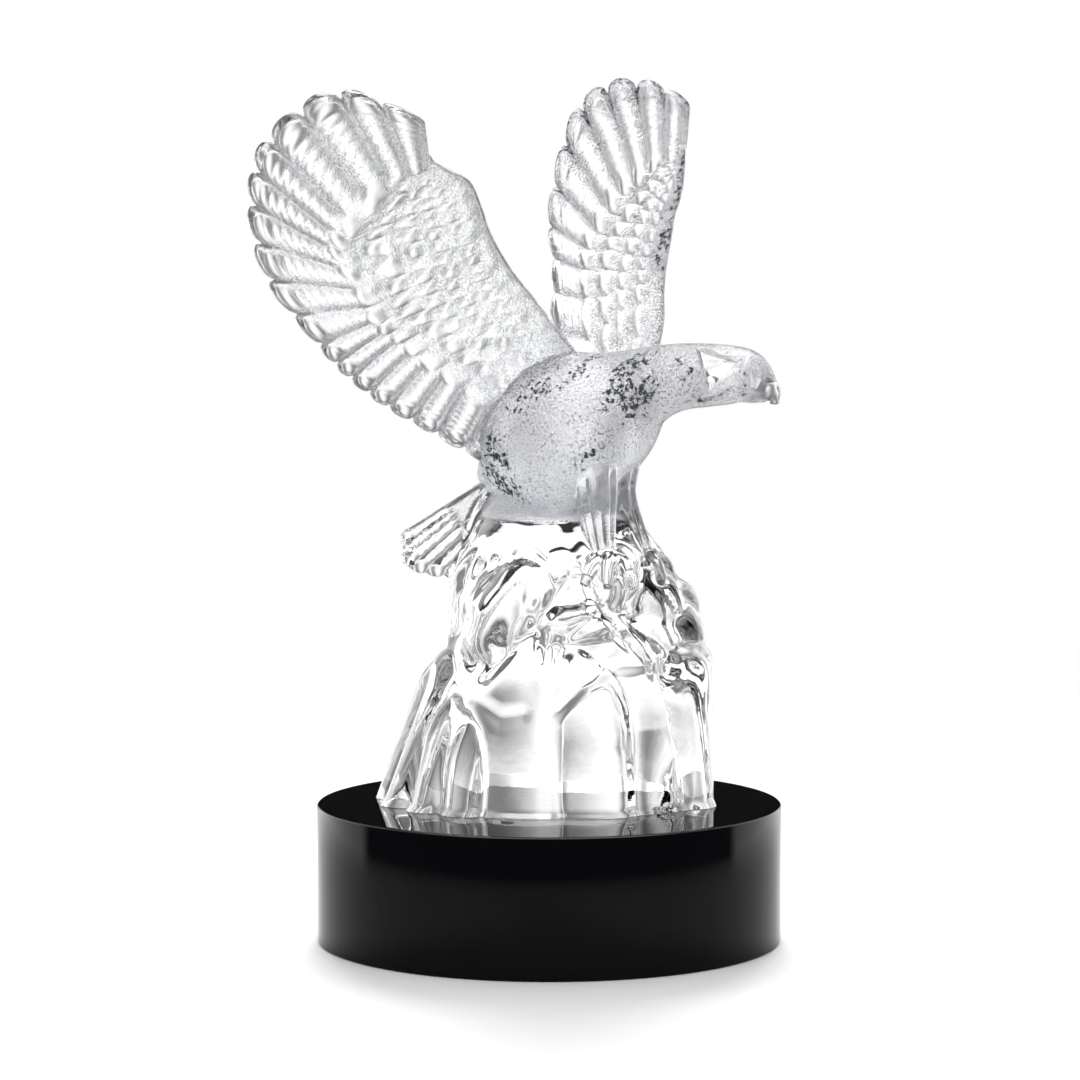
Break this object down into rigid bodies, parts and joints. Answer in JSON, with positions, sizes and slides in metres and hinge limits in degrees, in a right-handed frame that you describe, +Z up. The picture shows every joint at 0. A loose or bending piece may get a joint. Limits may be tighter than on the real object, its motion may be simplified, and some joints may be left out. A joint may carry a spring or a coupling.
{
  "type": "eagle trophy",
  "caption": "Clear crystal eagle with raised wings, cast in one with the rock it stands on, set on a round polished black glass base; an award or display piece that stands by its own weight.",
  "frame": {"origin": "middle of the base's underside", "axes": "+Z up; -Y is the display's front, which the beak's side of the picture faces; +X is the picture's right, where the beak points"},
  "size_m": [0.1708, 0.152, 0.2839],
  "materials": {
    "clear_crystal": "polished clear crystal, with a frosted grain on the body and feathers",
    "black_glass": "polished opaque black glass"
  },
  "bodies": {
    "root": {"crystal_eagle": "clear_crystal", "black_base": "black_glass"}
  },
  "joints": []
}
